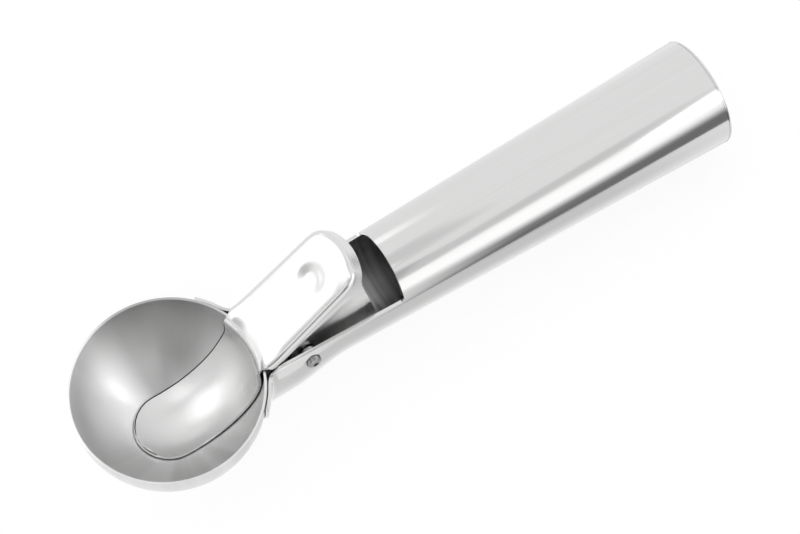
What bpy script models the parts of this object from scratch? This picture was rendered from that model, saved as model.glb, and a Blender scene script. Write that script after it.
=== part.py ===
# Thumb-lever ice cream scoop, lying bowl up on a flat surface.
#
# Everything is laid out in the bowl's own frame: the rim is the plane z = 0 and its centre is
# the origin, +X runs back along the handle and +Y is to the side. The empty "scoop_frame" then
# tips that frame a little, so that the bowl and the butt both touch the plane z = 0.
# The lever turns about the empty "lever_pivot", which lies on the pin's axis along Y.

from math import acos, asin, atan2, cos, degrees, exp, hypot, pi, radians, sin, sqrt, tan

import bmesh
import bpy
from mathutils import Matrix, Vector

MM = 0.001

# Bowl: a pressed part of a sphere with a plain cut rim.
BOWL_OUTER_RADIUS = 25.0 * MM
BOWL_WALL = 0.65 * MM
BOWL_CENTRE_DEPTH = 1.5 * MM

# Handle: a rolled, tapered tube whose front is opened into a trough. Lengths along it are
# measured from the rear of the bowl's rim.
HANDLE_LENGTH = 136.5 * MM
BUTT_RADIUS = 15.14 * MM
TUBE_TAPER = 0.02716
TUBE_WALL = 0.8 * MM
TUBE_AXIS_DEPTH = 6.36 * MM
MOUTH_BEHIND_RIM = 38.05 * MM
MOUTH_LEAN = radians(6.0)
MOUTH_CORNER_RADIUS = 1.2 * MM
TROUGH_EDGE_DEPTH_REAR = 1.1 * MM
TROUGH_EDGE_DEPTH_FRONT = 0.8 * MM
CRADLE_DROP = 2.4 * MM
CRADLE_WIDENING = 1.4 * MM
CRADLE_START_BEHIND_RIM = 21.0 * MM
CRADLE_END_BEHIND_RIM = 2.0 * MM
COLLAR_FILLET = 4.0 * MM
COLLAR_HALF_ANGLE = radians(44.3)
COLLAR_LEAST_LAND = radians(3.0)
COLLAR_OUTLINE_BLEND = radians(4.0)

# Butt cap: a pressed cup pushed into the end of the tube.
CAP_THICKNESS = 0.8 * MM
CAP_EDGE_RADIUS = 0.6 * MM
CAP_SKIRT_LENGTH = 5.0 * MM

# Lever: one pressing with the thumb plate, two side flanges, an end lip and the tongue.
LEVER_SHEET = 0.7 * MM
LEVER_ANGLE = radians(38.64)
LEVER_START_BEFORE_RIM = 0.27 * MM
LEVER_TOP_Z = 1.66 * MM
LEVER_LENGTH = 35.2 * MM
LEVER_FRONT_HALF_WIDTH = 9.93 * MM
LEVER_REAR_HALF_WIDTH = 9.1 * MM
LEVER_END_RADIUS = 13.0 * MM
LEVER_CORNER_RADIUS = 3.2 * MM
LEVER_BEND_RADIUS = 1.5 * MM
FOLD_RADIUS = 4.0 * MM
FOLD_FLATTENING = 6.0 * MM
LIP_DEPTH = 4.3 * MM
LIP_RUN_IN = 1.6 * MM
FLANGE_NECK = 1.5 * MM
FLANGE_NECK_DEPTH = 1.5 * MM
FLANGE_FRONT_FOOT_FROM_PIVOT = Vector((-2.9, 0.0, -2.5)) * MM
FLANGE_PIN_FOOT_FROM_PIVOT = Vector((0.0, 0.0, -3.4)) * MM
FLANGE_REAR_FOOT_BEFORE_END = 14.86 * MM
FLANGE_REAR_FOOT_DEPTH = 24.44 * MM
FLANGE_REAR_TOP_BEFORE_END = 5.74 * MM
FLANGE_REAR_TOP_DEPTH = 8.05 * MM
FLANGE_LEAN_FRONT = 1.85 * MM
FLANGE_LEAN_REAR = 0.3 * MM
FLANGE_LEAN_RUN_FRONT = 2.6 * MM
FLANGE_LEAN_RUN_REAR = 6.0 * MM
DIMPLE_BEFORE_END = 12.3 * MM
DIMPLE_HALF_LENGTH = 5.0 * MM
DIMPLE_HALF_WIDTH = 4.7 * MM
DIMPLE_WALL_SHARE = 0.66
DIMPLE_DEPTH = 0.42 * MM

# Tongue: a strip that follows the bowl's inside and leaves it near the rim, which it has to
# swing past. It is narrowest below the fold, where the blank is notched for the flanges.
TONGUE_REACH = radians(118.2)
TONGUE_HALF_WIDTH = 9.1 * MM
TONGUE_TOP_HALF_WIDTH = 8.5 * MM
TONGUE_GAP = 0.35 * MM
TONGUE_TOP_GAP = 0.96 * MM
TONGUE_TOP_RUN = radians(16.0)
TONGUE_NOTCH_RUN = radians(30.0)

# Pivot: a riveted pin with a sleeve between the flanges and a washer outside each of them.
PIVOT_BEHIND_RIM = 10.5 * MM
PIVOT_Z = -3.9 * MM
PIN_RADIUS = 1.2 * MM
PIN_HEAD_RADIUS = 2.0 * MM
PIN_HEAD_HEIGHT = 0.8 * MM
PIN_HEAD_DOME = 0.5 * MM
SLEEVE_RADIUS = 2.4 * MM
WASHER_RADIUS = 2.3 * MM
WASHER_THICKNESS = 1.1 * MM

# Return spring: a torsion spring round the sleeve.
SPRING_WIRE_RADIUS = 0.45 * MM
SPRING_COIL_CLEARANCE = 0.35 * MM
SPRING_PITCH = 1.5 * MM
SPRING_TURNS = 4
SPRING_UPPER_LEG_ANGLE = radians(60.0)
SPRING_LOWER_LEG_ANGLE = radians(-35.0)
SPRING_FOOT_LENGTH = 3.5 * MM

# Clearances between pieces.
SEAT_GAP = 0.3 * MM
PIN_CLEARANCE = 0.25 * MM

# Facets.
ROUND_SEGMENTS = 64
SMALL_ROUND_SEGMENTS = 20
SHARP_ANGLE = radians(35.0)

# Columns of the lever's sheet as shares of its half width, closest over the dimple.
HALF_COLUMNS = (0.13, 0.24, 0.34, 0.44, 0.56, 0.77, 1.0)
COLUMNS = [-share for share in reversed(HALF_COLUMNS)] + [0.0] + list(HALF_COLUMNS)


# Sizes that follow from the ones above.
BOWL_INNER_RADIUS = BOWL_OUTER_RADIUS - BOWL_WALL
BOWL_CENTRE = Vector((0.0, 0.0, -BOWL_CENTRE_DEPTH))
TONGUE_MID_RADIUS = BOWL_INNER_RADIUS - TONGUE_GAP - LEVER_SHEET / 2
TONGUE_TOP_RADIUS = BOWL_INNER_RADIUS - TONGUE_TOP_GAP - LEVER_SHEET / 2
COLLAR_MID_RADIUS = BOWL_OUTER_RADIUS + SEAT_GAP + TUBE_WALL / 2
PLATE_ALONG = Vector((cos(LEVER_ANGLE), 0.0, sin(LEVER_ANGLE)))
PLATE_UP = Vector((-sin(LEVER_ANGLE), 0.0, cos(LEVER_ANGLE)))
LEVER_TOP = Vector((BOWL_OUTER_RADIUS - LEVER_START_BEFORE_RIM, 0.0, LEVER_TOP_Z))
PLATE_START = LEVER_TOP - PLATE_UP * (LEVER_SHEET / 2)
PIVOT = Vector((BOWL_OUTER_RADIUS + PIVOT_BEHIND_RIM, 0.0, PIVOT_Z))
BUTT_X = BOWL_OUTER_RADIUS + HANDLE_LENGTH
MOUTH_X = BOWL_OUTER_RADIUS + MOUTH_BEHIND_RIM
CRADLE_START_X = BOWL_OUTER_RADIUS + CRADLE_START_BEHIND_RIM
CRADLE_END_X = BOWL_OUTER_RADIUS + CRADLE_END_BEHIND_RIM
CRADLE_LAST_STATION = CRADLE_END_X + TUBE_WALL + CRADLE_DROP


def tube_radius(x):
    """Outer radius of the plain tapered tube at x."""
    return BUTT_RADIUS - TUBE_TAPER * (BUTT_X - x)


def smooth(t):
    """Eases from 0 to 1 as t goes from 0 to 1."""
    t = min(1.0, max(0.0, t))
    return t * t * (3.0 - 2.0 * t)


def cradle(x):
    """Share of the trough's drop and widening that is reached at x."""
    return smooth((CRADLE_START_X - x) / (CRADLE_START_X - CRADLE_END_X))


def trough_axis_z(x):
    return -TUBE_AXIS_DEPTH - CRADLE_DROP * cradle(x)


def trough_radius(x):
    """Outer radius of the handle's round section at x, with the cradle's widening."""
    return tube_radius(x) + CRADLE_WIDENING * cradle(x)


# Building helpers.


def finish_material(name, colour, roughness, metallic):
    material = bpy.data.materials.new(name)
    material.use_nodes = True
    shader = material.node_tree.nodes["Principled BSDF"]
    shader.inputs["Base Color"].default_value = (*colour, 1.0)
    shader.inputs["Roughness"].default_value = roughness
    shader.inputs["Metallic"].default_value = metallic
    return material


def mesh_from(bm, name):
    bmesh.ops.recalc_face_normals(bm, faces=bm.faces)
    mesh = bpy.data.meshes.new(name)
    bm.to_mesh(mesh)
    bm.free()
    mesh.shade_smooth()
    mesh.set_sharp_from_angle(angle=SHARP_ANGLE)
    return mesh


def add_object(name, mesh, material, parent):
    piece = bpy.data.objects.new(name, mesh)
    mesh.materials.append(material)
    piece.parent = parent
    bpy.context.collection.objects.link(piece)
    return piece


def add_empty(name, location, parent=None):
    empty = bpy.data.objects.new(name, None)
    empty.empty_display_size = 5 * MM
    empty.location = location
    empty.parent = parent
    bpy.context.collection.objects.link(empty)
    return empty


def add_cutter(name, mesh, parent):
    cutter = bpy.data.objects.new(name, mesh)
    cutter.parent = parent
    cutter.display_type = "WIRE"
    cutter.hide_render = True
    bpy.context.collection.objects.link(cutter)
    return cutter


def boolean(piece, tool, operation="DIFFERENCE"):
    modifier = piece.modifiers.new(f"{operation.lower()}_{tool.name}", "BOOLEAN")
    modifier.operation = operation
    modifier.solver = "EXACT"
    modifier.object = tool


def thicken(piece, thickness):
    """Gives a middle surface its sheet thickness, half to each side."""
    modifier = piece.modifiers.new("sheet", "SOLIDIFY")
    modifier.thickness = thickness
    modifier.offset = 0.0
    modifier.use_quality_normals = True


def join_rows(bm, rows, cyclic=False):
    """Faces between neighbouring rows of vertices; a row of one vertex makes a fan."""
    for row, following in zip(rows, rows[1:]):
        count = max(len(row), len(following))
        steps = count if cyclic else count - 1
        for i in range(steps):
            j = (i + 1) % count
            corners = [
                row[min(i, len(row) - 1)],
                row[min(j, len(row) - 1)],
                following[min(j, len(following) - 1)],
                following[min(i, len(following) - 1)],
            ]
            distinct = list(dict.fromkeys(corners))
            if len(distinct) > 2:
                bm.faces.new(distinct)


def turned(name, profile, segments, closed_loop=False):
    """Turns (radius, height) points about local Z. A point of radius 0 lies on the axis."""
    bm = bmesh.new()
    rows = []
    for radius, height in profile:
        if radius < 1e-7:
            rows.append([bm.verts.new((0.0, 0.0, height))])
            continue
        ring = []
        for i in range(segments):
            angle = 2 * pi * i / segments
            ring.append(bm.verts.new((radius * cos(angle), radius * sin(angle), height)))
        rows.append(ring)
    if closed_loop:
        rows.append(rows[0])
    join_rows(bm, rows, cyclic=True)
    return mesh_from(bm, name)


def arc_points(centre, radius, start, end, steps):
    """Points on an arc in a plane, as (u, v) pairs, both ends included."""
    points = []
    for i in range(steps + 1):
        angle = start + (end - start) * i / steps
        points.append((centre[0] + radius * cos(angle), centre[1] + radius * sin(angle)))
    return points


def prism(name, outline, half_width):
    """A prism whose outline lies in the XZ plane and which runs along Y."""
    bm = bmesh.new()
    face = bm.faces.new([bm.verts.new((x, -half_width, z)) for x, z in outline])
    grown = bmesh.ops.extrude_face_region(bm, geom=[face])
    moved = [item for item in grown["geom"] if isinstance(item, bmesh.types.BMVert)]
    bmesh.ops.translate(bm, verts=moved, vec=(0.0, 2 * half_width, 0.0))
    return mesh_from(bm, name)


def cylinder_along(name, axis, centre, radius, length, segments):
    """A plain cylinder along X or Y, as a mesh."""
    bm = bmesh.new()
    turn = Matrix.Rotation(pi / 2, 4, "Y") if axis == "X" else Matrix.Rotation(pi / 2, 4, "X")
    bmesh.ops.create_cone(
        bm,
        cap_ends=True,
        segments=segments,
        radius1=radius,
        radius2=radius,
        depth=length,
        matrix=Matrix.Translation(centre) @ turn,
    )
    return mesh_from(bm, name)


# Bowl.


def bowl_mesh():
    steps = 13
    rim_outer = asin(BOWL_CENTRE_DEPTH / BOWL_OUTER_RADIUS)
    rim_inner = asin(BOWL_CENTRE_DEPTH / BOWL_INNER_RADIUS)
    centre = (0.0, BOWL_CENTRE.z)
    outside = arc_points(centre, BOWL_OUTER_RADIUS, -pi / 2, rim_outer, steps)
    inside = arc_points(centre, BOWL_INNER_RADIUS, rim_inner, -pi / 2, steps)
    outside[0] = (0.0, outside[0][1])
    inside[-1] = (0.0, inside[-1][1])
    return turned("bowl", outside + inside, ROUND_SEGMENTS)


# Handle tube, trough and collar.


def collar_column(angle, rows_straight, rows_fillet, rows_collar):
    """Points from the cradle onto the bowl, in the plane at this angle round the trough's axis."""
    axis_z = trough_axis_z(CRADLE_END_X)
    wall = trough_radius(CRADLE_END_X) - TUBE_WALL / 2
    rise = BOWL_CENTRE.z - axis_z
    circle_height = rise * sin(angle)
    circle_radius = sqrt(COLLAR_MID_RADIUS**2 - (rise * cos(angle)) ** 2)
    fillet_height = wall + COLLAR_FILLET
    reach = circle_radius + COLLAR_FILLET
    fillet_x = sqrt(reach**2 - (fillet_height - circle_height) ** 2)
    touch = atan2(fillet_height - circle_height, fillet_x)
    level_end = acos(COLLAR_MID_RADIUS * cos(COLLAR_HALF_ANGLE) / circle_radius)
    least_end = touch + COLLAR_LEAST_LAND
    end = (level_end + least_end + hypot(level_end - least_end, COLLAR_OUTLINE_BLEND)) / 2
    flat = []
    for i in range(1, rows_straight):
        x = CRADLE_LAST_STATION + (fillet_x - CRADLE_LAST_STATION) * i / rows_straight
        flat.append((x, trough_radius(x) - TUBE_WALL / 2, trough_axis_z(x)))
    bend = arc_points((fillet_x, fillet_height), COLLAR_FILLET, -pi / 2, touch - pi, rows_fillet)
    wing = arc_points((0.0, circle_height), circle_radius, touch, end, rows_collar)
    for x, height in bend + wing[1:]:
        flat.append((x, height, axis_z))
    return [Vector((x, r * cos(angle), z + r * sin(angle))) for x, r, z in flat]


def handle_mesh():
    """Middle surface of the handle's sheet, from the butt to the collar's outline."""
    tube_end = BUTT_X - CAP_THICKNESS - SEAT_GAP
    stations = [tube_end, (tube_end + MOUTH_X) / 2, MOUTH_X + CAP_SKIRT_LENGTH]
    cradle_rows = 7
    cradle_run = CRADLE_LAST_STATION - CRADLE_START_X
    for i in range(cradle_rows + 1):
        stations.append(CRADLE_START_X + cradle_run * i / cradle_rows)
    bm = bmesh.new()
    columns = []
    for j in range(ROUND_SEGMENTS):
        angle = 2 * pi * j / ROUND_SEGMENTS
        points = []
        for x in stations:
            r = trough_radius(x) - TUBE_WALL / 2
            points.append(Vector((x, r * cos(angle), trough_axis_z(x) + r * sin(angle))))
        points += collar_column(angle, rows_straight=2, rows_fillet=5, rows_collar=3)
        columns.append([bm.verts.new(point) for point in points])
    join_rows(bm, list(zip(*columns)), cyclic=True)
    return mesh_from(bm, "handle_tube")


def opening_outline():
    """Side view of what is cut away above the trough, with its rounded inner corner."""
    r = MOUTH_CORNER_RADIUS
    corner = (MOUTH_X - r, r - TROUGH_EDGE_DEPTH_REAR)
    top = BOWL_OUTER_RADIUS
    outline = [(0.0, -TROUGH_EDGE_DEPTH_FRONT)]
    outline += arc_points(corner, r, -pi / 2, -MOUTH_LEAN, 6)
    outline += [(MOUTH_X + top * tan(MOUTH_LEAN), top), (0.0, top)]
    return outline


# Butt cap, as a profile of (radius, distance along the handle) from the bowl's centre.


def butt_cap_mesh():
    outer_face = BUTT_X
    inner_face = outer_face - CAP_THICKNESS
    radius = tube_radius(BUTT_X)
    skirt_end = inner_face - CAP_SKIRT_LENGTH
    skirt_outer = tube_radius(skirt_end) - TUBE_WALL - SEAT_GAP
    skirt_inner = skirt_outer - CAP_THICKNESS
    edge = arc_points(
        (radius - CAP_EDGE_RADIUS, outer_face - CAP_EDGE_RADIUS),
        CAP_EDGE_RADIUS,
        pi / 2,
        0.0,
        4,
    )
    profile = [(0.0, outer_face)]
    profile += edge
    profile += [
        (radius, inner_face),
        (skirt_outer, inner_face),
        (skirt_outer, skirt_end),
        (skirt_inner, skirt_end),
        (skirt_inner, inner_face),
        (0.0, inner_face),
    ]
    return turned("butt_cap", profile, ROUND_SEGMENTS)


# Lever. Along-plate distance s and depth d below the plate's middle surface start at PLATE_START.


def plate_point(s, y, d):
    return PLATE_START + PLATE_ALONG * s - PLATE_UP * d + Vector((0.0, y, 0.0))


def plate_coordinates(point):
    """(s, d) of a point."""
    offset = point - PLATE_START
    return offset.dot(PLATE_ALONG), -offset.dot(PLATE_UP)


def lever_half_width(s):
    """Outer half width of the lever, from the fold to the far end."""
    t = min(1.0, max(0.0, s / LEVER_LENGTH))
    return LEVER_FRONT_HALF_WIDTH + (LEVER_REAR_HALF_WIDTH - LEVER_FRONT_HALF_WIDTH) * t


def flange_lean(s, depth):
    """How far the side flange has drawn inward at this depth below its bend."""
    t = min(1.0, max(0.0, s / LEVER_LENGTH))
    most = FLANGE_LEAN_FRONT + (FLANGE_LEAN_REAR - FLANGE_LEAN_FRONT) * t
    run = FLANGE_LEAN_RUN_FRONT + (FLANGE_LEAN_RUN_REAR - FLANGE_LEAN_RUN_FRONT) * t
    return most * (1.0 - exp(-((depth / run) ** 2)))


def flange_outer_at(point):
    """Outer half width of the flange beside a point."""
    s, d = plate_coordinates(point)
    return lever_half_width(s) - flange_lean(s, d - EDGE_BEND)


def fold_geometry():
    """Direction of the fold's centre from the bowl's centre, in the XZ plane."""
    fold_mid = FOLD_RADIUS - LEVER_SHEET / 2
    offset = (PLATE_START - BOWL_CENTRE).dot(PLATE_UP) - fold_mid
    return LEVER_ANGLE + asin(offset / (TONGUE_TOP_RADIUS + fold_mid))


FOLD_DIRECTION = fold_geometry()


def fold_centre(y):
    fold_mid = FOLD_RADIUS - LEVER_SHEET / 2
    reach = sqrt(TONGUE_TOP_RADIUS**2 - y * y) + fold_mid
    return BOWL_CENTRE + Vector((reach * cos(FOLD_DIRECTION), y, reach * sin(FOLD_DIRECTION)))


def tongue_half_width(angle):
    """Half width of the tongue at this angle above the horizontal, without its round end."""
    below = smooth((FOLD_DIRECTION - angle) / TONGUE_NOTCH_RUN)
    return TONGUE_TOP_HALF_WIDTH + (TONGUE_HALF_WIDTH - TONGUE_TOP_HALF_WIDTH) * below


def tongue_radius(angle):
    """Distance of the tongue's middle surface from the bowl's centre at this angle."""
    below = smooth((FOLD_DIRECTION - angle) / TONGUE_TOP_RUN)
    return TONGUE_TOP_RADIUS + (TONGUE_MID_RADIUS - TONGUE_TOP_RADIUS) * below


def tongue_rows():
    """Rows of points from the tongue's round tip up to the fold."""
    tip_steps = 7
    body_steps = 13
    tip_angle = asin(TONGUE_HALF_WIDTH / TONGUE_MID_RADIUS)
    rows = []
    stations = []
    for i in range(tip_steps + 1):
        turn = pi / 2 * i / tip_steps
        angle = -TONGUE_REACH + tip_angle * (1 - cos(turn))
        stations.append((angle, tongue_half_width(angle) * sin(turn)))
    first = -TONGUE_REACH + tip_angle
    for i in range(1, body_steps + 1):
        angle = first + (FOLD_DIRECTION - first) * i / body_steps
        stations.append((angle, tongue_half_width(angle)))
    for angle, half_width in stations:
        row = []
        for share in COLUMNS:
            y = half_width * share
            ring = sqrt(tongue_radius(angle) ** 2 - y * y)
            row.append(BOWL_CENTRE + Vector((ring * cos(angle), y, ring * sin(angle))))
        rows.append(row)
    rows[0] = rows[0][:1]
    return rows


def fold_rows():
    """Rows of points round the fold, from the tongue to the plate, both ends left out."""
    steps = 6
    fold_mid = FOLD_RADIUS - LEVER_SHEET / 2
    start = FOLD_DIRECTION + pi
    end = LEVER_ANGLE + pi / 2
    rows = []
    for i in range(1, steps):
        angle = start + (end - start) * i / steps
        row = []
        for share in COLUMNS:
            centre = fold_centre(TONGUE_TOP_HALF_WIDTH * share)
            row.append(centre + Vector((fold_mid * cos(angle), 0.0, fold_mid * sin(angle))))
        rows.append(row)
    return rows


def fold_end(y):
    """Where the fold runs out into the plate, as (s, height above the plate's plane)."""
    point = fold_centre(y) + PLATE_UP * (FOLD_RADIUS - LEVER_SHEET / 2)
    offset = point - PLATE_START
    return offset.dot(PLATE_ALONG), offset.dot(PLATE_UP)


# Where the plate's straight sides run into its rounded far corners.
EDGE_BEND = LEVER_BEND_RADIUS - LEVER_SHEET / 2
PLATE_END = LEVER_LENGTH - LEVER_BEND_RADIUS
CORNER_STEPS = 5
CORNER_Y = LEVER_REAR_HALF_WIDTH - LEVER_BEND_RADIUS - LEVER_CORNER_RADIUS
CORNER_REACH = LEVER_END_RADIUS - LEVER_CORNER_RADIUS
CORNER_S = PLATE_END - LEVER_END_RADIUS + sqrt(CORNER_REACH**2 - CORNER_Y**2)
CORNER_TURN = pi / 2 - asin(CORNER_Y / CORNER_REACH)


def end_line(y):
    """Far edge of the flat part of the plate at y."""
    return PLATE_END - LEVER_END_RADIUS + sqrt(LEVER_END_RADIUS**2 - y * y)


def flange_corners():
    """Lower outline of the flange and the lip as (s, depth) corners behind the neck."""
    corners = [
        plate_coordinates(PIVOT + FLANGE_FRONT_FOOT_FROM_PIVOT),
        plate_coordinates(PIVOT + FLANGE_PIN_FOOT_FROM_PIVOT),
        (LEVER_LENGTH - FLANGE_REAR_FOOT_BEFORE_END, FLANGE_REAR_FOOT_DEPTH),
        (LEVER_LENGTH - FLANGE_REAR_TOP_BEFORE_END, FLANGE_REAR_TOP_DEPTH),
    ]
    corners.append((corners[-1][0] + LIP_RUN_IN, LIP_DEPTH))
    corners.append((LEVER_LENGTH, LIP_DEPTH))
    return corners


def flange_depth(s, neck):
    """Depth of the flange's lower edge at s; neck is where it starts to go down."""
    corners = [neck] + flange_corners()
    for (s0, d0), (s1, d1) in zip(corners, corners[1:]):
        if s <= s1:
            return d0 + (d1 - d0) * max(0.0, s - s0) / (s1 - s0)
    return corners[-1][1]


def dimple(s, y):
    """Depth of the oval thumb dimple."""
    centre = LEVER_LENGTH - DIMPLE_BEFORE_END
    u = hypot((s - centre) / DIMPLE_HALF_LENGTH, y / DIMPLE_HALF_WIDTH)
    return DIMPLE_DEPTH * smooth((1.0 - u) / DIMPLE_WALL_SHARE)


def settled(s, y):
    """Distance along the plate at y, where the fold's curved end has shifted its front."""
    first = fold_end(0.0)[0]
    start = fold_end(y)[0]
    return start + (LEVER_LENGTH - start) * (s - first) / (LEVER_LENGTH - first)


def plate_surface(s, y):
    """A point on the plate's middle surface, with the fold's crown and the dimple."""
    start, height = fold_end(y)
    along = settled(s, y)
    crown = height * (1.0 - smooth((along - start) / FOLD_FLATTENING))
    return plate_point(along, y, dimple(along, y) - crown)


def plate_stations():
    """Stations along the plate, which meet the flange's corners and gather in the dimple."""
    edge_y = LEVER_FRONT_HALF_WIDTH - LEVER_SHEET / 2 - EDGE_BEND
    first = fold_end(0.0)[0]
    edge_start = fold_end(edge_y)[0]
    scale = (LEVER_LENGTH - first) / (LEVER_LENGTH - edge_start)
    feet = [first + (s - edge_start) * scale for s, _ in flange_corners()[:3]]
    neck = first + FLANGE_NECK * scale
    centre = LEVER_LENGTH - DIMPLE_BEFORE_END
    dimple_start = centre - DIMPLE_HALF_LENGTH
    stations = [neck, feet[0], feet[1]]
    steps_before = 4
    for i in range(1, steps_before):
        stations.append(feet[1] + (dimple_start - feet[1]) * i / steps_before)
    steps_across = 10
    for i in range(steps_across + 1):
        stations.append(dimple_start + 2 * DIMPLE_HALF_LENGTH * i / steps_across)
    nearest = min(range(len(stations)), key=lambda i: abs(stations[i] - feet[2]))
    stations[nearest] = feet[2]
    return stations


def plate_rows():
    """Rows of (s, y) from one side of the plate to the other, and each row's edge turn."""
    first = fold_end(0.0)[0]
    rows = [[(first, TONGUE_TOP_HALF_WIDTH * share) for share in COLUMNS]]
    turns = [0.0]
    for s in plate_stations():
        width = lever_half_width(s) - LEVER_BEND_RADIUS
        rows.append([(s, width * share) for share in COLUMNS])
        turns.append(0.0)
    for i in range(CORNER_STEPS + 1):
        turn = CORNER_TURN * i / CORNER_STEPS
        edge_s = CORNER_S + LEVER_CORNER_RADIUS * sin(turn)
        edge_y = CORNER_Y + LEVER_CORNER_RADIUS * cos(turn)
        bulge = (end_line(0.0) - end_line(edge_y)) * (i / CORNER_STEPS) ** 2
        row = []
        for share in COLUMNS:
            along = edge_s + bulge * (1 - share * share)
            if i == CORNER_STEPS:
                along = end_line(edge_y * share)
            row.append((along, edge_y * share))
        rows.append(row)
        turns.append(turn)
    return rows, turns


def edge_strip(bm, surface, outward):
    """Vertices that bend down from one edge vertex and run on as the flange or the lip."""
    bend_steps = 4
    down_steps = 6
    strip = [surface]
    foot = surface.co + outward * EDGE_BEND - PLATE_UP * EDGE_BEND
    for i in range(1, bend_steps + 1):
        turn = pi / 2 * i / bend_steps
        inward = outward * EDGE_BEND * (1 - sin(turn))
        strip.append(bm.verts.new(foot - inward + PLATE_UP * EDGE_BEND * cos(turn)))
    s, top = plate_coordinates(surface.co)
    neck = (fold_end(surface.co.y)[0] + FLANGE_NECK, top + EDGE_BEND + FLANGE_NECK_DEPTH)
    run = flange_depth(s, neck) - top - EDGE_BEND
    for i in range(1, down_steps + 1):
        depth = run * (i / down_steps) ** 1.5
        lean = flange_lean(s, depth) * abs(outward.y)
        strip.append(bm.verts.new(foot - PLATE_UP * depth - outward * lean))
    return strip


def add_flanges(bm, plate, turns):
    """Sides and end of the plate, bent down all the way round."""
    ways = [PLATE_ALONG * sin(turn) + Vector((0.0, cos(turn), 0.0)) for turn in turns]
    mirrored = [Vector((way.x, -way.y, way.z)) for way in ways]
    ends = []
    for vert in plate[-1][1:-1]:
        sideways = vert.co.y / LEVER_END_RADIUS
        ends.append(PLATE_ALONG * sqrt(1 - sideways**2) + Vector((0.0, sideways, 0.0)))
    edge = [row[0] for row in plate] + plate[-1][1:-1] + [row[-1] for row in reversed(plate)]
    directions = mirrored + ends + ways[::-1]
    strips = [[edge[0]]]
    for vert, outward in list(zip(edge, directions))[1:-1]:
        strips.append(edge_strip(bm, vert, outward))
    strips.append([edge[-1]])
    join_rows(bm, strips)


def lever_mesh():
    """Middle surface of the lever's sheet, with its origin on the pivot."""
    bm = bmesh.new()
    rows = []
    for row in tongue_rows() + fold_rows():
        rows.append([bm.verts.new(point) for point in row])
    outline, turns = plate_rows()
    plate = []
    for row in outline:
        plate.append([bm.verts.new(plate_surface(s, y)) for s, y in row])
    join_rows(bm, rows + plate)
    add_flanges(bm, plate, turns)
    bmesh.ops.translate(bm, verts=bm.verts, vec=-PIVOT)
    return mesh_from(bm, "thumb_lever")


# Pivot pieces, each about the pin's axis.


def wall_half_width(z):
    """Outer half width of the trough's wall at the pin, at height z."""
    r = trough_radius(PIVOT.x)
    return sqrt(r * r - (z - trough_axis_z(PIVOT.x)) ** 2)


def pin_heads_mesh():
    """Both domed heads, before their inner sides are cut to the wall."""
    seat = wall_half_width(PIVOT_Z + PIN_HEAD_RADIUS) - TUBE_WALL
    crown = wall_half_width(PIVOT_Z) + SEAT_GAP + PIN_HEAD_HEIGHT
    bm = bmesh.new()
    for side in (-1, 1):
        profile = [(0.0, seat), (PIN_HEAD_RADIUS, seat)]
        for turn in (0.0, pi / 6, pi / 3):
            height = crown - PIN_HEAD_DOME * (1 - sin(turn))
            profile.append((PIN_HEAD_RADIUS * cos(turn), height))
        profile.append((0.0, crown))
        rows = []
        for radius, height in profile:
            count = SMALL_ROUND_SEGMENTS if radius > 0 else 1
            ring = []
            for i in range(count):
                angle = 2 * pi * i / count
                ring.append(bm.verts.new((radius * cos(angle), side * height, radius * sin(angle))))
            rows.append(ring)
        join_rows(bm, rows, cyclic=True)
    return mesh_from(bm, "pivot_pin")


def ring_mesh(name, inner, outer, length):
    """A plain bush along Y, centred on its own origin."""
    half = length / 2
    profile = [(inner, -half), (outer, -half), (outer, half), (inner, half)]
    mesh = turned(name, profile, SMALL_ROUND_SEGMENTS, closed_loop=True)
    mesh.transform(Matrix.Rotation(pi / 2, 4, "X"))
    return mesh


# Return spring.


def trough_floor_z(x, y):
    r = trough_radius(x) - TUBE_WALL
    return trough_axis_z(x) - sqrt(r * r - y * y)


def leg_run(start, angle, blocked):
    """Length of a straight leg from start until blocked(point) says that it has arrived."""
    step = 0.02 * MM
    length = 0.0
    while length < LEVER_LENGTH:
        point = start + Vector((cos(angle), 0.0, sin(angle))) * length
        if blocked(point):
            return length
        length += step
    return length


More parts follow.
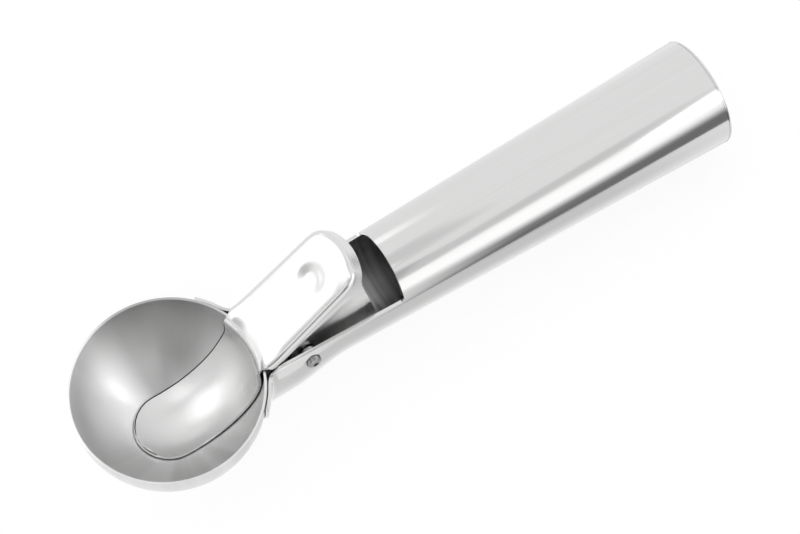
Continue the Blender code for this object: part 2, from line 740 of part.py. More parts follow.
def spring_points():
    """Centre line of the spring: a foot and leg, the coil, the other leg and its foot."""
    coil_radius = SLEEVE_RADIUS + SPRING_COIL_CLEARANCE + SPRING_WIRE_RADIUS
    stand_off = SPRING_WIRE_RADIUS + SEAT_GAP
    start_turn = SPRING_UPPER_LEG_ANGLE + pi / 2
    end_turn = SPRING_LOWER_LEG_ANGLE - pi / 2 + 2 * pi * (SPRING_TURNS + 1)
    turns = (end_turn - start_turn) / (2 * pi)
    half_length = turns * SPRING_PITCH / 2
    coil = []
    steps = round(turns * 10)
    for i in range(steps + 1):
        turn = start_turn + (end_turn - start_turn) * i / steps
        y = -half_length + 2 * half_length * i / steps
        coil.append(PIVOT + Vector((coil_radius * cos(turn), y, coil_radius * sin(turn))))

    def meets_plate(point):
        return (point - PLATE_START).dot(PLATE_UP) > -(LEVER_SHEET / 2 + stand_off)

    def meets_floor(point):
        return point.z < trough_floor_z(point.x, point.y) + stand_off

    upper_direction = Vector((cos(SPRING_UPPER_LEG_ANGLE), 0.0, sin(SPRING_UPPER_LEG_ANGLE)))
    lower_direction = Vector((cos(SPRING_LOWER_LEG_ANGLE), 0.0, sin(SPRING_LOWER_LEG_ANGLE)))
    upper_end = coil[0] + upper_direction * leg_run(coil[0], SPRING_UPPER_LEG_ANGLE, meets_plate)
    lower_end = coil[-1] + lower_direction * leg_run(coil[-1], SPRING_LOWER_LEG_ANGLE, meets_floor)
    upper_foot = upper_end + PLATE_ALONG * SPRING_FOOT_LENGTH
    lower_foot = lower_end + Vector((SPRING_FOOT_LENGTH, 0.0, 0.0))
    lower_foot.z = trough_floor_z(lower_foot.x, lower_foot.y) + stand_off
    return [upper_foot, upper_end] + coil + [lower_end, lower_foot]


def spring_curve():
    points = spring_points()
    curve = bpy.data.curves.new("return_spring", "CURVE")
    curve.dimensions = "3D"
    curve.bevel_depth = SPRING_WIRE_RADIUS
    curve.bevel_resolution = 1
    curve.use_fill_caps = True
    spline = curve.splines.new("POLY")
    spline.points.add(len(points) - 1)
    for slot, point in zip(spline.points, points):
        slot.co = (*point, 1.0)
    return curve


def least_coil_gap():
    """Smallest gap between two turns of the spring, measured on its centre line's points."""
    coil = spring_points()[2:-2]
    least = None
    for i, point in enumerate(coil):
        for other in coil[i + 6 :]:
            gap = (point - other).length - 2 * SPRING_WIRE_RADIUS
            least = gap if least is None else min(least, gap)
    return least


# Resting position: the bowl and the butt's lower edge both touch the plane z = 0.


def resting_tilt():
    edge_x = BUTT_X - CAP_EDGE_RADIUS
    edge_z = -TUBE_AXIS_DEPTH - BUTT_RADIUS + CAP_EDGE_RADIUS
    drop = BOWL_CENTRE.z - edge_z
    reach = hypot(edge_x, drop)
    return asin((BOWL_OUTER_RADIUS - CAP_EDGE_RADIUS) / reach) - atan2(drop, edge_x)


def resting_location(tilt):
    """Shift that puts the origin below the middle of the tilted scoop."""
    bowl_x = BOWL_CENTRE.z * sin(tilt)
    front = bowl_x - BOWL_OUTER_RADIUS
    top_edge_z = -TUBE_AXIS_DEPTH + BUTT_RADIUS - CAP_EDGE_RADIUS
    edge_x = BUTT_X - CAP_EDGE_RADIUS
    rear = edge_x * cos(tilt) + top_edge_z * sin(tilt) + CAP_EDGE_RADIUS
    bottom = BOWL_CENTRE.z * cos(tilt) - BOWL_OUTER_RADIUS
    return Vector((-(front + rear) / 2, 0.0, -bottom))


def build_handle(frame, steel):
    handle = add_object("handle_tube", handle_mesh(), steel, frame)
    thicken(handle, TUBE_WALL)
    opening = prism("opening_cutter", opening_outline(), BOWL_OUTER_RADIUS * 1.2)
    boolean(handle, add_cutter("opening_cutter", opening, frame))
    hole = cylinder_along(
        "wall_hole_cutter",
        "Y",
        PIVOT,
        PIN_RADIUS + PIN_CLEARANCE,
        4 * BOWL_OUTER_RADIUS,
        SMALL_ROUND_SEGMENTS,
    )
    boolean(handle, add_cutter("wall_hole_cutter", hole, frame))
    cap_steel = finish_material("butt_cap", (0.60, 0.60, 0.60), 0.3, 1.0)
    cap = add_object("butt_cap", butt_cap_mesh(), cap_steel, frame)
    cap.rotation_euler = (0.0, pi / 2, 0.0)
    cap.location = (0.0, 0.0, -TUBE_AXIS_DEPTH)
    return handle


def build_lever(pivot, steel):
    lever = add_object("thumb_lever", lever_mesh(), steel, pivot)
    thicken(lever, LEVER_SHEET)
    hole = cylinder_along(
        "flange_hole_cutter",
        "Y",
        Vector((0.0, 0.0, 0.0)),
        PIN_RADIUS + PIN_CLEARANCE,
        4 * BOWL_OUTER_RADIUS,
        SMALL_ROUND_SEGMENTS,
    )
    boolean(lever, add_cutter("flange_hole_cutter", hole, pivot))
    return lever


def build_pivot(frame):
    """The riveted pin, the sleeve between the flanges and the washers beside them."""
    steel = finish_material("pivot_pin", (0.42, 0.42, 0.42), 0.35, 1.0)
    pin = add_object("pivot_pin", pin_heads_mesh(), steel, frame)
    pin.location = PIVOT
    wall = cylinder_along(
        "head_seat_cutter",
        "X",
        Vector((PIVOT.x, 0.0, trough_axis_z(PIVOT.x))),
        trough_radius(PIVOT.x) + SEAT_GAP / 2,
        6 * PIN_HEAD_RADIUS,
        2 * ROUND_SEGMENTS,
    )
    boolean(pin, add_cutter("head_seat_cutter", wall, frame))
    shank_length = 2 * (wall_half_width(PIVOT_Z) + SEAT_GAP + PIN_HEAD_HEIGHT / 2)
    shank = cylinder_along("pin_shank", "Y", PIVOT, PIN_RADIUS, shank_length, SMALL_ROUND_SEGMENTS)
    boolean(pin, add_cutter("pin_shank", shank, frame), "UNION")

    flange_outer = flange_outer_at(PIVOT)
    bore = PIN_RADIUS + PIN_CLEARANCE
    sleeve_length = 2 * (flange_outer - LEVER_SHEET - SEAT_GAP)
    sleeve_steel = finish_material("spacer_sleeve", (0.45, 0.45, 0.46), 0.4, 1.0)
    sleeve_shape = ring_mesh("spacer_sleeve", bore, SLEEVE_RADIUS, sleeve_length)
    add_object("spacer_sleeve", sleeve_shape, sleeve_steel, frame).location = PIVOT
    for name, side in (("washer_near", -1), ("washer_far", 1)):
        washer_steel = finish_material(name, (0.5, 0.5, 0.5), 0.4, 1.0)
        shape = ring_mesh(name, bore, WASHER_RADIUS, WASHER_THICKNESS)
        washer = add_object(name, shape, washer_steel, frame)
        middle = flange_outer + SEAT_GAP + WASHER_THICKNESS / 2
        washer.location = PIVOT + Vector((0.0, side * middle, 0.0))


def build_scoop():
    for old in list(bpy.data.objects):
        bpy.data.objects.remove(old)
    tilt = resting_tilt()
    frame = add_empty("scoop_frame", resting_location(tilt))
    frame.rotation_euler = (0.0, tilt, 0.0)
    pivot = add_empty("lever_pivot", PIVOT, frame)
    bowl_steel = finish_material("bowl", (0.55, 0.55, 0.55), 0.25, 1.0)
    add_object("bowl", bowl_mesh(), bowl_steel, frame)
    build_handle(frame, finish_material("handle_tube", (0.62, 0.62, 0.62), 0.3, 1.0))
    build_lever(pivot, finish_material("thumb_lever", (0.66, 0.66, 0.66), 0.22, 1.0))
    build_pivot(frame)
    spring_steel = finish_material("return_spring", (0.4, 0.4, 0.41), 0.35, 1.0)
    spring = bpy.data.objects.new("return_spring", spring_curve())
    spring.data.materials.append(spring_steel)
    spring.parent = frame
    bpy.context.collection.objects.link(spring)
    print(f"resting tilt {degrees(tilt):.3f} degrees")
    print(f"least gap between spring turns {least_coil_gap() / MM:.2f} mm")


build_scoop()
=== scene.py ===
# A thumb-lever ice cream scoop in stainless steel, lying bowl up on a white studio table.

from math import cos, radians, sin

import bpy
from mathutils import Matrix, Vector


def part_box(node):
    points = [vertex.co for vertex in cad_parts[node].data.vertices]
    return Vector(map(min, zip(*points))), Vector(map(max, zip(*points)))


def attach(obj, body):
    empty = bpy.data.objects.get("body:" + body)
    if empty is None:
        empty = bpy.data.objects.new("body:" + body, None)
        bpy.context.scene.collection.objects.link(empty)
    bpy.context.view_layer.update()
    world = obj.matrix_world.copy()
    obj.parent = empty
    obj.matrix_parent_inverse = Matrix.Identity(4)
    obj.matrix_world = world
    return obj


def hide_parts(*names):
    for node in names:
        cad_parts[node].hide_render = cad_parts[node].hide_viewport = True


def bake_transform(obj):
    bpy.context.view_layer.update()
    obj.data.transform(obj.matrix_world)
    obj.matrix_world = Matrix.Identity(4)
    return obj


MM = 0.001
WHITE = (1.0, 1.0, 1.0, 1.0)

# The scoop lies with its handle's axis sloping down to the butt by this angle.
LYING_TILT = radians(1.784)
UP = Vector((sin(LYING_TILT), 0.0, cos(LYING_TILT)))

# Bowl.
BOWL_CENTRE = Vector((-68.35, 0.0, 25.0)) * MM
BOWL_RADIUS = 25.0 * MM
BOWL_SHEET = 0.65 * MM
RIM_ABOVE_CENTRE = 1.5 * MM

# Handle: a point of its axis, how far its end is drawn out to the cap, and where its inside is
# mill finished.
TUBE_AXIS_X = 12.6 * MM
TUBE_AXIS_Z = 17.35 * MM
TUBE_END_RING = 1.4 * MM
TUBE_END_SHIFT = 0.24 * MM
MILL_FINISH_START_X = -36.0 * MM

# The upper front corners of the trough's two walls, and how far they are spread.
CORNER_BEFORE_X = -41.6 * MM
CORNER_ABOVE_Z = 24.4 * MM
CORNER_WITHIN_Y = 9.6 * MM
CORNER_SPREAD = 1.025

# The rear feet of the lever's flanges, and how much closer they stand.
FOOT_BEHIND_X = -15.0 * MM
FOOT_BELOW_Z = 21.5 * MM
FOOT_NARROWING = 0.965

# Painted shadow line along the tongue's edge: a dark strip for the shade of the gap under it. It
# shows from its near side on and below the bowl's middle.
PAINTED_GAP_SHADOW_WIDTH = 0.3 * MM
PAINTED_GAP_SHADOW_NEAR_Y = -6.0 * MM
PAINTED_GAP_SHADOW_BELOW_CENTRE = -1.0 * MM

# Round punch that set the pin's heads: how far its middle stood off, and the radius and depth within
# which its dimple is painted dark as shade.
PUNCH_RADIUS = 1.1 * MM
PUNCH_STAND_OFF = 0.62 * MM
PAINTED_DIMPLE_SHADE_RADIUS = 0.8 * MM
PAINTED_DIMPLE_SHADE_DEPTH = 0.02 * MM

# Widths of the broken edges.
RIM_EDGE = 0.15 * MM
TUBE_EDGE = 0.12 * MM
LEVER_EDGE = 0.1 * MM
TURNED_EDGE = 0.1 * MM

# Edges that turn by more than this stay sharp.
SHARP_ANGLE = radians(40.0)
PIN_SHARP_ANGLE = radians(30.0)

# Depth of a surface's fine relief at full strength.
RELIEF_DEPTH = 0.05 * MM

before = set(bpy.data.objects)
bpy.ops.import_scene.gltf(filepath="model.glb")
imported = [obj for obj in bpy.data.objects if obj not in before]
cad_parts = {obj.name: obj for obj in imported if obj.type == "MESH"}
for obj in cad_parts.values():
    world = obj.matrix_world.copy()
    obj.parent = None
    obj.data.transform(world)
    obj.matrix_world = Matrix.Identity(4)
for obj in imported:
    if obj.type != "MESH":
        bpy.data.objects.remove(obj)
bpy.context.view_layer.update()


# Camera: above the scoop's front corner, with the bowl at the lower left of the picture.
lens = bpy.data.cameras.new("camera")
lens.lens = 114.89
lens.sensor_width = 36.0
lens.clip_start = 0.05
lens.clip_end = 10.0
camera = bpy.data.objects.new("camera", lens)
camera.location = (-0.11086, -0.2297, 0.621892)
camera.rotation_euler = (radians(22.694), radians(2.6404), radians(-31.9953))
bpy.context.collection.objects.link(camera)
bpy.context.scene.camera = camera
bpy.context.scene.view_settings.view_transform = "Standard"


# Helpers for the materials. Those that add one node give back the socket that comes out of it.


def linear_colour(hex_code):
    """Turns an sRGB hex value such as "D8D8D6" to linear red, green, blue and alpha."""
    channels = []
    for start in (0, 2, 4):
        value = int(hex_code[start : start + 2], 16) / 255
        channels.append(value / 12.92 if value <= 0.04045 else ((value + 0.055) / 1.055) ** 2.4)
    return (*channels, 1.0)


def add_node(owner, kind, settings, inputs):
    """Adds one node. An input's value is a plain value or the socket that feeds it."""
    node = owner.node_tree.nodes.new(kind)
    for name, value in settings.items():
        setattr(node, name, value)
    for name, value in inputs.items():
        if isinstance(value, bpy.types.NodeSocket):
            owner.node_tree.links.new(value, node.inputs[name])
        else:
            node.inputs[name].default_value = value
    return node


def new_material(name):
    material = bpy.data.materials.new(name)
    material.use_nodes = True
    material.node_tree.nodes.clear()
    return material


def object_place(material):
    return add_node(material, "ShaderNodeTexCoord", {}, {}).outputs["Object"]


def scaled(material, vector, scale):
    """Scales a place along each axis. Noise is drawn out along the axis with the least scale."""
    node = add_node(material, "ShaderNodeMapping", {}, {"Vector": vector, "Scale": scale})
    return node.outputs["Vector"]


def vector_maths(material, operation, output, *operands):
    inputs = dict(enumerate(operands))
    node = add_node(material, "ShaderNodeVectorMath", {"operation": operation}, inputs)
    return node.outputs[output]


def noise(material, vector, scale, detail):
    inputs = {"Vector": vector, "Scale": scale, "Detail": detail}
    return add_node(material, "ShaderNodeTexNoise", {}, inputs).outputs["Fac"]


def spread(material, value, low, high):
    """Takes a noise's usual range, 0.3 to 0.7, to low and high."""
    inputs = {"Value": value, "From Min": 0.3, "From Max": 0.7, "To Min": low, "To Max": high}
    return add_node(material, "ShaderNodeMapRange", {}, inputs).outputs["Result"]


def eased(material, value, start, end, first, last):
    """Goes softly from first at start to last at end."""
    settings = {"interpolation_type": "SMOOTHSTEP"}
    inputs = {"Value": value, "From Min": start, "From Max": end, "To Min": first, "To Max": last}
    return add_node(material, "ShaderNodeMapRange", settings, inputs).outputs["Result"]


def mixed_colour(material, share, first, second):
    inputs = {"Factor": share, 6: first, 7: second}
    return add_node(material, "ShaderNodeMix", {"data_type": "RGBA"}, inputs).outputs[2]


def bumped(material, height, strength):
    """The surface's normal over a fine relief."""
    inputs = {"Height": height, "Strength": strength, "Distance": RELIEF_DEPTH}
    return add_node(material, "ShaderNodeBump", {}, inputs).outputs["Normal"]


def finish_steel(material, inputs):
    """Ends a material as bare metal with these inputs."""
    shader = add_node(material, "ShaderNodeBsdfPrincipled", {}, {"Metallic": 1.0, **inputs})
    add_node(material, "ShaderNodeOutputMaterial", {}, {"Surface": shader.outputs["BSDF"]})
    return material


def seen_directly(owner):
    """1 for rays from the camera and for rays that steel or glass passes on, 0 for all others."""
    path = add_node(owner, "ShaderNodeLightPath", {}, {})
    seen = path.outputs["Is Camera Ray"]
    for kind in ("Is Glossy Ray", "Is Transmission Ray"):
        inputs = {0: seen, 1: path.outputs[kind]}
        seen = add_node(owner, "ShaderNodeMath", {"operation": "MAXIMUM"}, inputs).outputs["Value"]
    return seen


# Materials.


def satin_tube_steel():
    """Stainless steel tube, rolled and then satin-polished lengthwise with a fine belt. The eye
    sees a soft, slightly streaked mirror whose highlights run the whole length of the handle."""
    steel = new_material("satin_polished_stainless_tube")
    place = object_place(steel)
    # Belt lines are 0.05 mm apart on the real tube; 0.5 mm is the finest that shows here.
    lines = noise(steel, scaled(steel, place, (10.0, 900.0, 900.0)), 1.4, 4.0)
    patches = noise(steel, place, 45.0, 3.0)
    inputs = {
        "Base Color": mixed_colour(steel, lines, linear_colour("D6D6D5"), linear_colour("DEDEDE")),
        "Roughness": spread(steel, patches, 0.11, 0.15),
        "Normal": bumped(steel, lines, 0.05),
    }
    return finish_steel(steel, inputs)


def mill_finish_steel():
    """Inside of the tube: the strip's own cold-rolled mill finish, which no belt reaches. The eye
    sees a dull grey with drawn-out streaks round the tube, because the strip lay across it."""
    steel = new_material("mill_finish_stainless_strip")
    place = object_place(steel)
    # Roll marks on strip are about 0.3 mm wide; 1 mm is the finest that shows here.
    streaks = noise(steel, scaled(steel, place, (500.0, 25.0, 25.0)), 1.2, 3.0)
    inputs = {
        "Base Color": mixed_colour(steel, streaks, linear_colour("8C8C8C"), linear_colour("FFFFFF")),
        "Roughness": spread(steel, streaks, 0.26, 0.44),
    }
    return finish_steel(steel, inputs)


def spun_bowl_steel():
    """Stainless steel, deep-drawn and then spun against a polishing pad. The eye sees very fine
    rings round the bowl's axis, which draw each highlight out into a fan from its bottom."""
    steel = new_material("spun_stainless_bowl")
    centred = add_node(
        steel,
        "ShaderNodeMapping",
        {"vector_type": "TEXTURE"},
        {
            "Vector": object_place(steel),
            "Location": tuple(BOWL_CENTRE),
            "Rotation": (0.0, LYING_TILT, 0.0),
        },
    ).outputs["Vector"]
    outward = vector_maths(steel, "MULTIPLY", "Vector", centred, (1.0, 1.0, 0.0))
    reach = vector_maths(steel, "LENGTH", "Value", outward)
    depth = add_node(steel, "ShaderNodeSeparateXYZ", {}, {"Vector": centred}).outputs["Z"]
    ring_inputs = {"X": reach, "Y": depth, "Z": 0.0}
    ring_place = add_node(steel, "ShaderNodeCombineXYZ", {}, ring_inputs).outputs["Vector"]
    # Polishing rings are under 0.1 mm apart; 0.4 mm is the finest that shows here.
    rings = noise(steel, ring_place, 2500.0, 3.0)
    # The sheet's own texture was drawn out from the bottom to the rim: about 25 rays in a turn.
    facing = vector_maths(steel, "NORMALIZE", "Vector", outward)
    rays = noise(steel, facing, 4.0, 4.0)
    tint = mixed_colour(steel, rays, linear_colour("D2D2D1"), linear_colour("F0F0F0"))
    # Painted shade and painted highlight: the colour is darkened in a fan on the far side, towards
    # where the handle's collar holds it, and lightened in a fan on the side away from the handle.
    for side, start, painted_fan_most, hex_code in (
        (radians(66.0), 0.45, 0.55, "8C8C8C"),
        (radians(145.0), 0.6, 0.8, "FEFEFE"),
    ):
        toward = vector_maths(steel, "DOT_PRODUCT", "Value", facing, (cos(side), sin(side), 0.0))
        share = eased(steel, toward, start, 1.0, 0.0, painted_fan_most)
        tint = mixed_colour(steel, share, tint, linear_colour(hex_code))
    inputs = {
        "Base Color": tint,
        "Roughness": spread(steel, rays, 0.27, 0.36),
        "Anisotropic": 0.88,
        "Tangent": outward,
        "Normal": bumped(steel, rings, 0.06),
    }
    return finish_steel(steel, inputs)


def pressed_lever_steel(name, roughness_low, roughness_high, anisotropy):
    """Stainless steel sheet, blanked, pressed and brushed across its length. The eye sees a bright
    surface on which highlights are drawn out along the lever."""
    steel = new_material(name)
    place = object_place(steel)
    # Brush lines are 0.05 mm apart on the real sheet; 0.4 mm is the finest that shows here.
    grain = noise(steel, scaled(steel, place, (1500.0, 40.0, 1500.0)), 1.5, 4.0)
    patches = noise(steel, place, 80.0, 3.0)
    normal = add_node(steel, "ShaderNodeNewGeometry", {}, {}).outputs["Normal"]
    inputs = {
        "Base Color": mixed_colour(steel, grain, linear_colour("DBDBDA"), linear_colour("E0E0E0")),
        "Roughness": spread(steel, patches, roughness_low, roughness_high),
        "Anisotropic": anisotropy,
        "Tangent": vector_maths(steel, "CROSS_PRODUCT", "Vector", normal, (0.0, 1.0, 0.0)),
        "Normal": bumped(steel, grain, 0.01),
    }
    return finish_steel(steel, inputs)


def small_part_steel(name, dark, light, roughness_low, roughness_high, mark_spacing):
    """Plain turned or drawn steel of the small parts, with marks that are this far apart."""
    steel = new_material(name)
    marks = noise(steel, object_place(steel), 1 / mark_spacing, 4.0)
    inputs = {
        "Base Color": mixed_colour(steel, marks, linear_colour(dark), linear_colour(light)),
        "Roughness": spread(steel, marks, roughness_low, roughness_high),
        "Normal": bumped(steel, marks, 0.1),
    }
    return finish_steel(steel, inputs)


tube_steel = satin_tube_steel()
inside_steel = mill_finish_steel()
bowl_steel = spun_bowl_steel()
lever_steel = pressed_lever_steel("polished_stainless_pressing", 0.17, 0.22, 0.6)
# The tongue was brushed harder than the plate, to scrape smoothly.
tongue_steel = pressed_lever_steel("brushed_stainless_tongue", 0.27, 0.33, 0.88)
# Painted shade: dark steel painted along the tongue's edge for the shadow of the gap under it, and
# in the middle of the pin's dimples for the shade in them.
painted_shade_steel = small_part_steel("dark_steel_painted_as_shade", "202020", "3A3A3A", 0.45, 0.55, 0.3 * MM)
# Rivet wire, cold-headed and left as struck: bright, with the marks of the punch.
rivet_steel = small_part_steel("cold_headed_rivet_steel", "787878", "C4C4C4", 0.1, 0.18, 0.4 * MM)
# Free-cutting steel, turned and plated: even, slightly dull.
turned_steel = small_part_steel("turned_plated_steel", "A6A6A8", "BABABC", 0.28, 0.38, 0.6 * MM)
# Hard-drawn spring wire: smooth, with a faint straw-grey cast.
wire_steel = small_part_steel("hard_drawn_spring_wire", "A09E9A", "B8B6B2", 0.22, 0.3, 0.5 * MM)


# Pieces.


def select_only(piece):
    bpy.ops.object.select_all(action="DESELECT")
    piece.select_set(True)
    bpy.context.view_layer.objects.active = piece


def bevel_edges(piece, width):
    """Breaks the piece's sharp edges."""
    bevel = piece.modifiers.new("broken_edges", "BEVEL")
    bevel.width = width
    bevel.segments = 2
    bevel.limit_method = "ANGLE"
    bevel.angle_limit = SHARP_ANGLE
    bevel.use_clamp_overlap = True
    bpy.ops.object.modifier_apply(modifier=bevel.name)


def finish_piece(piece, node_name, *steels):
    """Shades a piece, gives it its steels, and puts it in the place of a solid."""
    bpy.ops.object.shade_smooth_by_angle(angle=SHARP_ANGLE)
    piece.data.materials.clear()
    for steel in steels:
        piece.data.materials.append(steel)
    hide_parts(node_name)


def merged_copy(node_name, name):
    """A copy of a solid whose loose triangles are joined into one skin."""
    piece = bpy.data.objects.new(name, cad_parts[node_name].data.copy())
    bpy.context.collection.objects.link(piece)
    select_only(piece)
    bpy.ops.object.mode_set(mode="EDIT")
    bpy.ops.mesh.select_all(action="SELECT")
    bpy.ops.mesh.remove_doubles(threshold=0.002 * MM)
    bpy.ops.mesh.dissolve_limited(angle_limit=radians(0.3))
    bpy.ops.object.mode_set(mode="OBJECT")
    return piece


def dressed_copy(node_name, name, steel, edge_width):
    """A smooth-shaded copy of a solid of the handle, with its cut edges broken by a small bevel."""
    piece = merged_copy(node_name, name)
    if edge_width:
        bevel_edges(piece, edge_width)
    finish_piece(piece, node_name, steel)
    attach(piece, "handle")
    return piece


def spun_bowl():
    """Part of a thin sphere, cut off level above its middle, with a softened rim."""
    bpy.ops.object.select_all(action="DESELECT")
    bpy.ops.mesh.primitive_uv_sphere_add(
        segments=144,
        ring_count=72,
        radius=BOWL_RADIUS,
        location=BOWL_CENTRE,
        rotation=(0.0, LYING_TILT, 0.0),
    )
    piece = bpy.context.object
    piece.name = "spun_bowl"
    bpy.ops.object.transform_apply(location=True, rotation=True, scale=True)
    bpy.ops.object.mode_set(mode="EDIT")
    bpy.ops.mesh.select_all(action="SELECT")
    rim_point = BOWL_CENTRE + UP * RIM_ABOVE_CENTRE
    bpy.ops.mesh.bisect(plane_co=rim_point, plane_no=UP, clear_outer=True)
    bpy.ops.object.mode_set(mode="OBJECT")
    wall = piece.modifiers.new("sheet", "SOLIDIFY")
    wall.thickness = BOWL_SHEET
    wall.offset = -1.0
    bpy.ops.object.modifier_apply(modifier=wall.name)
    bevel_edges(piece, RIM_EDGE)
    finish_piece(piece, "bowl", bowl_steel)
    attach(piece, "handle")


def tube_axis_height(x):
    return TUBE_AXIS_Z - (x - TUBE_AXIS_X) * sin(LYING_TILT)


def rolled_tube():
    """The handle, with the strip's mill finish left on its inside, and its end drawn close up to
    the cap's brim so that only a hairline shows between them. The trough's front corners are
    spread a little, so that the lever's flanges pass them freely."""
    piece = dressed_copy("handle_tube", "rolled_handle_tube", tube_steel, TUBE_EDGE)
    piece.data.materials.append(inside_steel)
    end_x = max(vertex.co.x for vertex in piece.data.vertices)
    for vertex in piece.data.vertices:
        x, y, z = vertex.co
        if x > end_x - TUBE_END_RING:
            vertex.co.x += TUBE_END_SHIFT
        if x < CORNER_BEFORE_X and z > CORNER_ABOVE_Z and abs(y) < CORNER_WITHIN_Y:
            vertex.co.y *= CORNER_SPREAD
    for face in piece.data.polygons:
        x, y, z = face.center
        from_axis = Vector((0.0, y, z - tube_axis_height(x)))
        if from_axis.dot(face.normal) < -0.5 * from_axis.length and x > MILL_FINISH_START_X:
            face.material_index = 1


def on_tongue(face):
    """Whether a face of the lever lies in the bowl."""
    from_centre = face.center - BOWL_CENTRE
    return from_centre.dot(UP) < 0.0 and from_centre.length < BOWL_RADIUS


def on_tongue_top(face):
    from_centre = (face.center - BOWL_CENTRE).normalized()
    return on_tongue(face) and face.normal.dot(from_centre) < -0.9


def pressed_lever():
    """The lever, with its brushed tongue and a painted shadow line: a dark strip along the tongue's
    far edge and tip, for the shade of the gap under it. The flanges' rear feet stand a little
    closer, so that they go down into the trough freely."""
    piece = merged_copy("thumb_lever", "pressed_thumb_lever")
    for vertex in piece.data.vertices:
        if vertex.co.x > FOOT_BEHIND_X and vertex.co.z < FOOT_BELOW_Z:
            vertex.co.y *= FOOT_NARROWING
    finish_piece(piece, "thumb_lever", lever_steel, tongue_steel, painted_shade_steel)
    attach(piece, "lever")
    for face in piece.data.polygons:
        face.material_index = 1 if on_tongue(face) else 0
    bpy.ops.object.mode_set(mode="EDIT")
    bpy.ops.mesh.select_mode(type="FACE")
    bpy.ops.mesh.select_all(action="DESELECT")
    bpy.ops.object.mode_set(mode="OBJECT")
    for face in piece.data.polygons:
        face.select = on_tongue_top(face)
    bpy.ops.object.mode_set(mode="EDIT")
    bpy.ops.mesh.inset(thickness=PAINTED_GAP_SHADOW_WIDTH, depth=0.0, use_select_inset=True)
    bpy.ops.object.mode_set(mode="OBJECT")
    # The inset strip along the tongue's edge is painted dark as the shadow of the gap under it.
    for face in piece.data.polygons:
        from_centre = face.center - BOWL_CENTRE
        low = from_centre.dot(UP) < PAINTED_GAP_SHADOW_BELOW_CENTRE
        if face.select and low and from_centre.y > PAINTED_GAP_SHADOW_NEAR_Y:
            face.material_index = 2
    bevel_edges(piece, LEVER_EDGE)
    bpy.ops.object.shade_smooth_by_angle(angle=SHARP_ANGLE)


def riveted_pin():
    """A pin whose two ends are set with a round punch: domed heads with a dimple in the middle,
    whose middle is painted dark as shade.
    """
    pin_low, pin_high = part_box("pivot_pin")
    middle = (Vector(pin_low) + Vector(pin_high)) / 2
    half = (pin_high[1] - pin_low[1]) / 2
    piece = dressed_copy("pivot_pin", "riveted_pivot_pin", rivet_steel, 0.0)
    for side in (-1.0, 1.0):
        bpy.ops.mesh.primitive_uv_sphere_add(
            segments=32,
            ring_count=16,
            radius=PUNCH_RADIUS,
            location=(middle.x, side * (half + PUNCH_STAND_OFF), middle.z),
        )
        punch = bpy.context.object
        dimple = piece.modifiers.new("punch_mark", "BOOLEAN")
        dimple.operation = "DIFFERENCE"
        dimple.solver = "EXACT"
        dimple.object = punch
        select_only(piece)
        bpy.ops.object.modifier_apply(modifier=dimple.name)
        bpy.data.objects.remove(punch)
    piece.data.materials.clear()
    piece.data.materials.append(rivet_steel)
    piece.data.materials.append(painted_shade_steel)
    # The middle of each punched dimple is painted dark as the shade in the recess.
    for face in piece.data.polygons:
        x, y, z = face.center
        from_axis = Vector((x - middle.x, 0.0, z - middle.z)).length
        recessed = abs(y) < half - PAINTED_DIMPLE_SHADE_DEPTH
        if from_axis < PAINTED_DIMPLE_SHADE_RADIUS and recessed and face.normal.y * y > 0.0:
            face.material_index = 1
    bpy.ops.object.shade_smooth_by_angle(angle=PIN_SHARP_ANGLE)


def wound_spring():
    """The spring, as a smooth-shaded copy of its solid, left where the solid lies."""
    piece = merged_copy("return_spring", "wound_return_spring")
    finish_piece(piece, "return_spring", wire_steel)
    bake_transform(piece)


spun_bowl()
rolled_tube()
dressed_copy("butt_cap", "pressed_butt_cap", tube_steel, 0.0)
pressed_lever()
riveted_pin()
dressed_copy("spacer_sleeve", "turned_spacer_sleeve", turned_steel, TURNED_EDGE)
dressed_copy("washer_near", "turned_washer_near", turned_steel, TURNED_EDGE)
dressed_copy("washer_far", "turned_washer_far", turned_steel, TURNED_EDGE)
wound_spring()


# Table and light. Sizes and distances from here on are in metres.


def white_table():
    """Matt white card. The camera and the steel see it as plain white, a little darker in the
    scoop's shadow."""
    table_white = new_material("white_table")
    seen = seen_directly(table_white)
    paper = add_node(
        table_white, "ShaderNodeBsdfDiffuse", {}, {"Color": linear_colour("F2F2F2")}
    )
    faint_paper = add_node(
        table_white, "ShaderNodeBsdfDiffuse", {}, {"Color": (0.3, 0.3, 0.3, 1.0)}
    )
    glow = add_node(table_white, "ShaderNodeEmission", {}, {"Color": WHITE, "Strength": 0.81})
    white = add_node(
        table_white,
        "ShaderNodeAddShader",
        {},
        {0: faint_paper.outputs["BSDF"], 1: glow.outputs["Emission"]},
    )
    mixed = add_node(
        table_white,
        "ShaderNodeMixShader",
        {},
        {"Fac": seen, 1: paper.outputs["BSDF"], 2: white.outputs["Shader"]},
    )
    add_node(table_white, "ShaderNodeOutputMaterial", {}, {"Surface": mixed.outputs["Shader"]})
    return table_white


def white_studio():
    """White walls all round, which light the scoop less than they show."""
    studio = bpy.data.worlds.new("studio")
    studio.use_nodes = True
    studio.node_tree.nodes.clear()
    inputs = {"Value": seen_directly(studio), "To Min": 0.6, "To Max": 1.0}
    strength = add_node(studio, "ShaderNodeMapRange", {}, inputs).outputs["Result"]
    walls = add_node(
        studio, "ShaderNodeBackground", {}, {"Color": WHITE, "Strength": strength}
    )
    add_node(studio, "ShaderNodeOutputWorld", {}, {"Surface": walls.outputs["Background"]})
    return studio


def direction(azimuth, elevation):
    """Direction at this many degrees round from +X and above the table."""
    level = cos(radians(elevation))
    return Vector(
        (level * cos(radians(azimuth)), level * sin(radians(azimuth)), sin(radians(elevation)))
    )


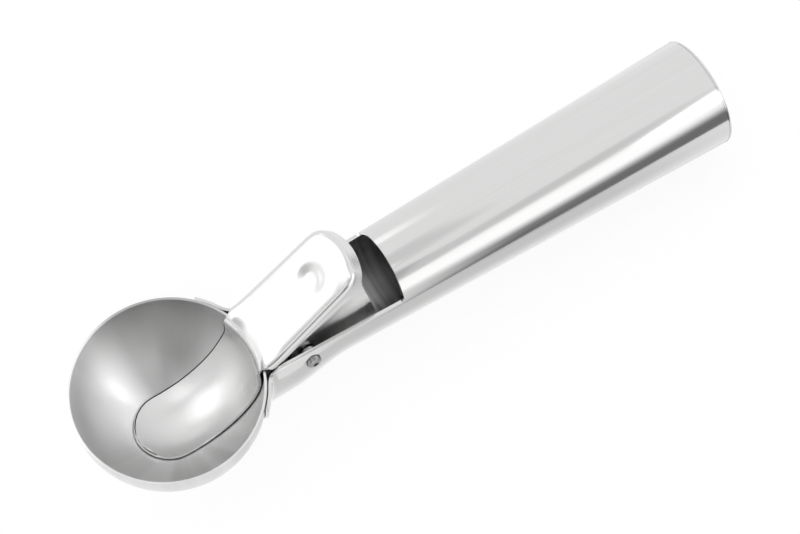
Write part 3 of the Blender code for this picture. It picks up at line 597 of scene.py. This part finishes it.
def add_softbox(name, azimuth, elevation, distance, width, height, power):
    """A soft lamp that stands in this direction from the scoop's middle and faces it."""
    lamp = bpy.data.lights.new(name, "AREA")
    lamp.shape = "RECTANGLE"
    lamp.size = width
    lamp.size_y = height
    lamp.energy = power
    box = bpy.data.objects.new(name, lamp)
    toward = direction(azimuth, elevation)
    box.location = toward * distance
    box.rotation_euler = toward.to_track_quat("Z", "Y").to_euler()
    box.visible_glossy = False
    bpy.context.collection.objects.link(box)


def card_surface(name, shade):
    """Lit or black cloth on a frame. It fades out over its outer part, so that the steel shows it
    with soft edges."""
    surface = new_material(name)
    place = add_node(surface, "ShaderNodeTexCoord", {}, {}).outputs["UV"]
    centred = vector_maths(surface, "SUBTRACT", "Vector", place, (0.5, 0.5, 0.0))
    away = vector_maths(surface, "ABSOLUTE", "Vector", centred)
    split = add_node(surface, "ShaderNodeSeparateXYZ", {}, {"Vector": away})
    there = add_node(
        surface,
        "ShaderNodeMath",
        {"operation": "MULTIPLY"},
        {
            0: eased(surface, split.outputs["X"], 0.2, 0.5, 1.0, 0.0),
            1: eased(surface, split.outputs["Y"], 0.2, 0.5, 1.0, 0.0),
        },
    )
    cloth = add_node(surface, "ShaderNodeEmission", {}, {"Color": WHITE, "Strength": shade})
    air = add_node(surface, "ShaderNodeBsdfTransparent", {}, {})
    mixed = add_node(
        surface,
        "ShaderNodeMixShader",
        {},
        {"Fac": there.outputs["Value"], 1: air.outputs["BSDF"], 2: cloth.outputs["Emission"]},
    )
    add_node(surface, "ShaderNodeOutputMaterial", {}, {"Surface": mixed.outputs["Shader"]})
    return surface


def add_card(name, location, facing, width, height, shade):
    """A studio card that only the steel shows: out of the picture, with no light or shadow of
    its own."""
    bpy.ops.object.select_all(action="DESELECT")
    bpy.ops.mesh.primitive_plane_add(size=1.0)
    card = bpy.context.object
    card.name = name
    card.scale = (width, height, 1.0)
    card.rotation_euler = facing.to_track_quat("Z", "Y").to_euler()
    card.location = location
    bpy.ops.object.transform_apply(location=True, rotation=True, scale=True)
    card.visible_camera = False
    card.visible_shadow = False
    card.visible_diffuse = False
    card.data.materials.append(card_surface(name, shade))


def add_far_card(name, azimuth, elevation, distance, width, height, shade):
    """A card in this direction from the scoop's middle, facing it."""
    toward = direction(azimuth, elevation)
    add_card(name, toward * distance, toward, width, height, shade)


bpy.ops.object.select_all(action="DESELECT")
bpy.ops.mesh.primitive_plane_add(size=6.0, location=(0.0, 0.0, 0.0))
table_top = bpy.context.object
table_top.name = "table"
table_top.data.materials.append(white_table())
bpy.context.scene.world = white_studio()

add_softbox("left_softbox", 150.0, 45.0, 1.5, 0.8, 0.8, 0.8)
add_softbox("overhead_softbox", 60.0, 75.0, 1.5, 0.8, 0.8, 0.8)
add_far_card("left_strip", 150.0, 43.0, 1.0, 0.69, 1.0, 2.1)
add_far_card("left_back_card", 107.0, 34.0, 1.0, 0.6, 0.42, 1.35)
add_far_card("left_dim_card", 173.0, 27.0, 0.9, 0.24, 0.34, 0.56)
add_far_card("left_side_card", 202.0, 18.0, 1.0, 0.57, 0.35, 1.3)
add_far_card("left_front_flag", 226.0, 26.0, 0.95, 0.9, 0.48, 0.16)
add_far_card("left_low_card", 150.0, -1.0, 1.05, 0.7, 0.32, 2.6)
add_far_card("high_left_card", 206.0, 67.0, 0.9, 0.34, 0.28, 2.3)
add_far_card("right_card", -42.0, 28.0, 0.95, 0.38, 0.36, 3.6)
add_far_card("right_low_flag", 0.0, 14.0, 1.0, 0.6, 0.42, 0.6)
add_far_card("overhead_card", 200.0, 80.0, 1.0, 0.7, 0.56, 0.8)
add_far_card("high_left_front_card", 230.0, 52.0, 1.0, 1.1, 0.4, 0.56)
add_far_card("high_front_card", -80.0, 50.0, 1.0, 1.8, 0.36, 0.78)
add_far_card("front_strip", -85.0, 26.0, 1.2, 2.6, 0.8, 1.4)
# A low dark card in front of the handle gives its lower side the dark line.
low_place = Vector((95.0, -60.0, 8.0)) * MM
add_card("low_front_flag", low_place, Vector((0.0, -1.0, 0.0)), 0.26, 0.058, 0.2)
# A grey card lying along the scoop's near side keeps the handle's lower edge from going white.
near_place = Vector((20.0, -42.0, 0.5)) * MM
add_card("near_side_card", near_place, Vector((0.0, 0.0, 1.0)), 0.2, 0.06, 0.76)
